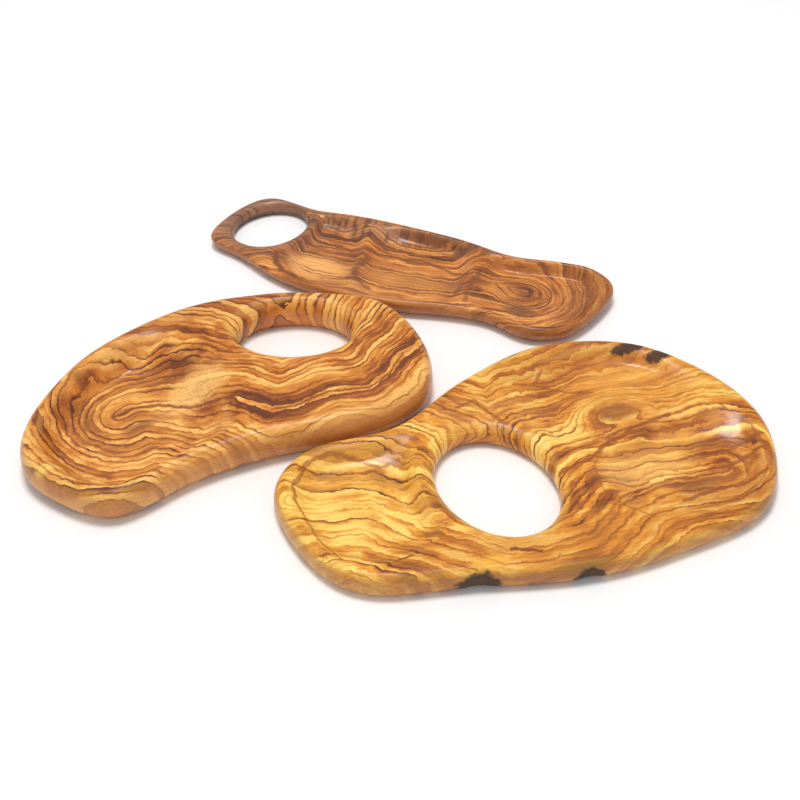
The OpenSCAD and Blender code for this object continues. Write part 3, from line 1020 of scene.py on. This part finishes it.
GOLDEN_WOOD = OliveWood(
    name="golden_olive_wood",
    light=(255, 210, 106),
    warm=(224, 144, 38),
    heart=(172, 92, 20),
    dark=(88, 40, 8),
    plain_and_shaded_flank=(190, 128, 64),
    tilt=(0.0, -0.8, 0.35),
    spacing=3.6,
    sway=14.0,
    wave=7.0,
    jag=3.2,
    band=1.5,
    streak=1.9,
    stripe=0.65,
    blotch=0.8,
    base=0.54,
    line=0.9,
    line_width=2.1,
    rim=17.0,
    hole=(-25.3, -18.3),
    rim_highlight=0.2,
    spine=(
        (-165, -6), (-112, -12), (-76, -42), (-34, -76), (16, -70), (46, -46), (84, -36), (132, -38),
    ),
    swirls=(Swirl((74, 34), (25, 15), 19),),
    tones=(
        Patch((-122, -4, 10), (56, 46, 40), (255, 206, 84), 0.22, lift=0.42),
        Patch((106, 52, 10), (70, 36, 40), (214, 134, 44), 0.45, soft=0.6, calm=0.55),
        Patch((86, 63, 9), (24, 10, 9), (242, 172, 72), 0.5),
        Patch((78, 31, 9), (16, 8, 20), (146, 82, 28), 0.75),
        # Painted reflection: a pale wash with calmer lines on the left side of the near hollow.
        Patch((74, -26, 9), (36, 14, 12), (238, 184, 106), 0.5, lift=0.3, calm=0.3),
        Patch((98, -8, 9), (34, 9, 12), (222, 152, 66), 0.5),
        Patch((110, -48, 8), (15, 7, 9), (122, 68, 28), 0.7),
        Patch((48, 84, 17), (70, 22, 12), (182, 100, 24), 0.45),
        Patch((144, -58, 16), (60, 20, 14), (186, 112, 44), 0.6),
        Patch((30, -80, 18), (70, 20, 14), (206, 128, 36), 0.55),
        Patch((-116, 33, 17), (28, 9, 9), (228, 156, 58), 0.6),
        Patch((-16, 44, 18), (42, 20, 14), (232, 162, 84), 0.35, lift=0.12),
        Patch((-64, -74, 18), (44, 16, 14), (202, 124, 36), 0.45),
        Patch((-52, -87, 19), (13, 5, 8), (250, 186, 62), 0.7),
    ),
    veins=(
        Vein(((-153, 22), (-141, 30), (-127, 32), (-112, 27), (-98, 18), (-84, 20)), 2.2, 0.6),
        Vein(((18, -22), (43, -15), (55, -4), (84, 11), (111, 15)), 2.2, 0.75),
        Vein(((54, -7), (42, -22), (41, -44), (49, -59), (65, -73)), 2, 0.4),
        Vein(((135, -23), (152, -20), (165, -20)), 2.6, 0.7),
        Vein(((131, -37), (150, -32), (165, -32)), 2.6, 0.7),
        Vein(((94, -59), (121, -54), (138, -54), (155, -53)), 2.4, 0.75),
        Vein(((-34, 52), (-21, 57), (-14, 43), (-5, 29)), 2.4, 0.65),
        Vein(((37, 78), (28, 68), (51, 57), (67, 53)), 2, 0.6),
        Vein(((-34, -79), (-16, -85)), 2.2, 0.95),
        Vein(((-110, -70), (-97, -67)), 1.8, 0.9),
        Vein(((-150, 22), (-160, 9), (-161, -3), (-156, -24), (-152, -41), (-142, -61)), 1.9, 0.6),
        Vein(((148, 14), (162, -10), (162, -33), (158, -49), (147, -61), (120, -68)), 1.8, 0.5),
    ),
    bark=(
        Patch((-60, -95, 5), (15, 12, 12), (84, 66, 58), 0.95, soft=0.15),
        Patch((12, -105, 5), (11, 9, 10), (84, 66, 58), 0.95, soft=0.15),
        Patch((104, 84, 17), (14, 5, 6), (70, 48, 46), 0.9, soft=0.25),
        Patch((123, 71, 17), (11, 5, 6), (70, 48, 46), 0.9, soft=0.25),
    ),
    seed=11.0,
)
STRIPED_WOOD = OliveWood(
    name="striped_olive_wood",
    light=(248, 190, 100),
    warm=(210, 128, 42),
    heart=(160, 82, 22),
    dark=(80, 36, 8),
    plain_and_shaded_flank=(206, 138, 74),
    tilt=(0.05, -0.85, 0.12),
    spacing=4.0,
    sway=16.0,
    wave=6.0,
    jag=1.2,
    band=1.3,
    streak=1.9,
    stripe=0.9,
    blotch=0.25,
    base=0.48,
    line=0.9,
    line_width=2.1,
    rim=26.0,
    hole=(69.0, 22.5),
    rim_highlight=0.3,
    spine=(
        (150, -30), (136, -40), (124, -43), (107, -56), (88, -62), (60, -51), (34, -53),
        (18, -48), (0, -22), (-19, -10), (-31, 2), (-44, 12), (-61, 18), (-72, 16),
    ),
    tones=(
        Patch((-70, 8, 9), (52, 44, 16), (244, 172, 74), 0.2, lift=0.15),
        Patch((-18, 6, 17), (26, 14, 16), (255, 208, 130), 0.6, soft=0.6, lift=0.35, calm=0.7),
        Patch((-64, -2, 9), (12, 5, 7), (138, 74, 24), 0.75),
        Patch((-136, -23, 26), (14, 4, 8), (250, 204, 104), 0.85),
        Patch((40, -88, 10), (140, 18, 24), (206, 138, 76), 0.6),
        # Painted light: lightens the far wall of the finger hole, which lies in shade.
        Patch((90, 44, 14), (46, 14, 16), (232, 144, 58), 0.6),
        Patch((20, 80, 26), (110, 20, 14), (186, 108, 44), 0.45),
    ),
    veins=(
        Vein(((18, -48), (34, -53), (60, -51), (88, -62), (107, -56), (124, -43)), 1.5, 0.75),
        Vein(((-76, 16), (-61, 18), (-44, 12), (-31, 2), (-19, -10), (0, -22)), 2, 0.75),
    ),
    seed=37.0,
)
BROWN_WOOD = OliveWood(
    name="brown_olive_wood",
    light=(234, 162, 80),
    warm=(198, 118, 46),
    heart=(142, 78, 32),
    dark=(74, 38, 16),
    plain_and_shaded_flank=(166, 104, 56),
    tilt=(0.0, -0.9, 0.3),
    spacing=2.8,
    sway=10.0,
    wave=3.0,
    jag=1.0,
    band=1.2,
    streak=1.6,
    stripe=0.6,
    blotch=0.5,
    base=0.6,
    line=0.85,
    line_width=1.7,
    rim=15.5,
    hole=(-120.0, 15.7),
    rim_highlight=0.1,
    spine=(
        (-160, -30), (-110, -6), (-66, -14), (6, -14), (44, -10), (70, 4), (96, 4),
    ),
    swirls=(Swirl((98, -2), (22, 16), 14),),
    tones=(
        Patch((-70, -19, 7), (26, 13, 6), (246, 180, 104), 0.8),
        Patch((6, -14, 6.5), (40, 12, 5), (228, 152, 72), 0.55),
        Patch((78, -2, 6.5), (16, 9, 5), (230, 150, 62), 0.6),
        Patch((-45, 33, 12), (46, 9, 8), (166, 116, 86), 0.6),
        Patch((28, 34, 12), (34, 9, 7), (146, 90, 54), 0.6),
        Patch((-130, 22, 9), (45, 42, 16), (134, 102, 86), 0.78),
        Patch((97, -20, 7), (13, 6, 5), (104, 58, 28), 0.8),
        Patch((146, 8, 12), (26, 46, 14), (146, 84, 40), 0.55),
        Patch((0, -47, 12), (110, 6, 9), (172, 110, 58), 0.5),
    ),
    curls=(
        Patch((-45, 33, 12), (50, 11, 9), (84, 52, 36), 0.7),
        Patch((28, 34, 12), (36, 9, 7), (86, 50, 30), 0.6),
    ),
    veins=(
        Vein(((-102, -17), (-99, -28), (-90, -36), (-77, -41)), 3.6, 0.85),
        Vein(((-32, 0), (-38, -13), (-33, -28), (-22, -31)), 4.4, 0.65),
        Vein(((57, 11), (56, -2), (55, -19), (56, -30)), 3.4, 0.55),
        Vein(((-89, 6), (-66, 7), (-40, 9), (-15, 12), (10, 14), (52, 3)), 1.8, 0.7),
    ),
    bark=(Patch((-120, 16, 2), (40, 34, 4.5), (84, 60, 50), 0.7, soft=0.4),),
    seed=73.0,
)

FRONT_DISH = CarvedDish(
    node="front_dish",
    wood=GOLDEN_WOOD,
    outline=(
        (100, -19), (93, 35), (65, 86), (24, 100), (-14, 78), (-46, 46), (-82, 40),
        (-100, 8), (-93, -47), (-75, -79), (-38, -89), (8, -100), (46, -94), (84, -75),
    ),
    passes=6,
    length=349.0,
    width=209.0,
    heights=(20.0, 17.0),
    rolls=(6.5, 6.5),
    taper=(-174.5, 174.5),
    belly=8.0,
    tuck=8.0,
    slope=13.0,
    hole=FingerHole(98, 78, (-14.5, -17.5), -70, 86, 10, 5),
    hollows=(
        Hollow(165, 116, 9, (41, 46), 12, 0.4),
        Hollow(142, 108, 10, (61, -30), -4, 0.5),
        Hollow(124, 132, 10, (-66, -14), 0, 0.5),
    ),
    tip=(52, 4),
    marks=(14, 20, 91, 95),
    pace=((0, 0), (0.31, 0.43), (0.65, 0.57), (1, 1)),
    rows=(64, 24, 270),
    turn=14.0,
    pits=(
        Pit((-60, -97, 4), (14, 12, 12), 1.6),
        Pit((12, -105, 4), (10, 9, 10), 1.4),
    ),
)
LEFT_DISH = CarvedDish(
    node="left_dish",
    wood=STRIPED_WOOD,
    outline=(
        (-100, 5), (-97, -35), (-74, -82), (-32, -77), (5, -83), (47, -100), (83, -92), (100, -41),
        (95, 26), (62, 68), (32, 91), (5, 100), (-25, 96), (-55, 81), (-86, 43),
    ),
    passes=6,
    length=300.0,
    width=173.0,
    heights=(27.0, 28.0),
    rolls=(8.0, 10.0),
    taper=(-100, 20),
    belly=12.0,
    tuck=11.0,
    slope=18.0,
    hole=FingerHole(84, 52, (46, 26), -28, 199, 12, 6),
    hollows=(Hollow(160, 180, 18, (-50, 7), 4, 0.5),),
    tip=(-75, 12),
    marks=(16, 20, 77, 96.5),
    pace=((0, 0), (0.28, 0.26), (0.63, 0.49), (1, 1)),
    rows=(64, 44, 230),
    turn=29.0,
)
BACK_DISH = CarvedDish(
    node="back_dish",
    wood=BROWN_WOOD,
    outline=(
        (100, 33), (88, 75), (70, 77), (47, 69), (20, 85), (-20, 93), (-56, 91), (-80, 100), (-93, 52),
        (-98, -22), (-79, -48), (-56, -83), (-30, -98), (0, -99), (30, -83), (48, -81), (68, -97), (88, -67),
    ),
    passes=4,
    length=324.0,
    width=101.0,
    heights=(12.5, 15.0),
    rolls=(6.0, 4.0),
    taper=(-108, -54),
    belly=9.5,
    tuck=12.0,
    slope=8.0,
    hole=FingerHole(62, 48, (-74, 31), 45, -70, 6, 3),
    hollows=(
        Hollow(70, 108, 7.5, (-40, -8), 12, 0.58),
        Hollow(102, 108, 8.5, (4, -6), 4, 0.62),
        Hollow(112, 108, 9, (65, -2), 0, 0.62),
    ),
    tip=(58, 2),
    marks=(10, 30.5, 59.2, 94),
    pace=((0, 0), (0.36, 0.39), (0.86, 0.79), (1, 1)),
    rows=(72, 70, 168),
    turn=-17.5,
)


def main() -> None:
    """Build and dress each dish, then the studio round them."""
    logging.basicConfig(level=logging.INFO, format="%(message)s")
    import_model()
    bpy.context.scene.view_settings.view_transform = "Standard"
    for dish in (FRONT_DISH, LEFT_DISH, BACK_DISH):
        piece = dish.build()
        dish.dress(piece)
        LOG.info("%s: %d faces", piece.name, len(piece.data.polygons))
    Studio().build()


if __name__ == "__main__":
    main()
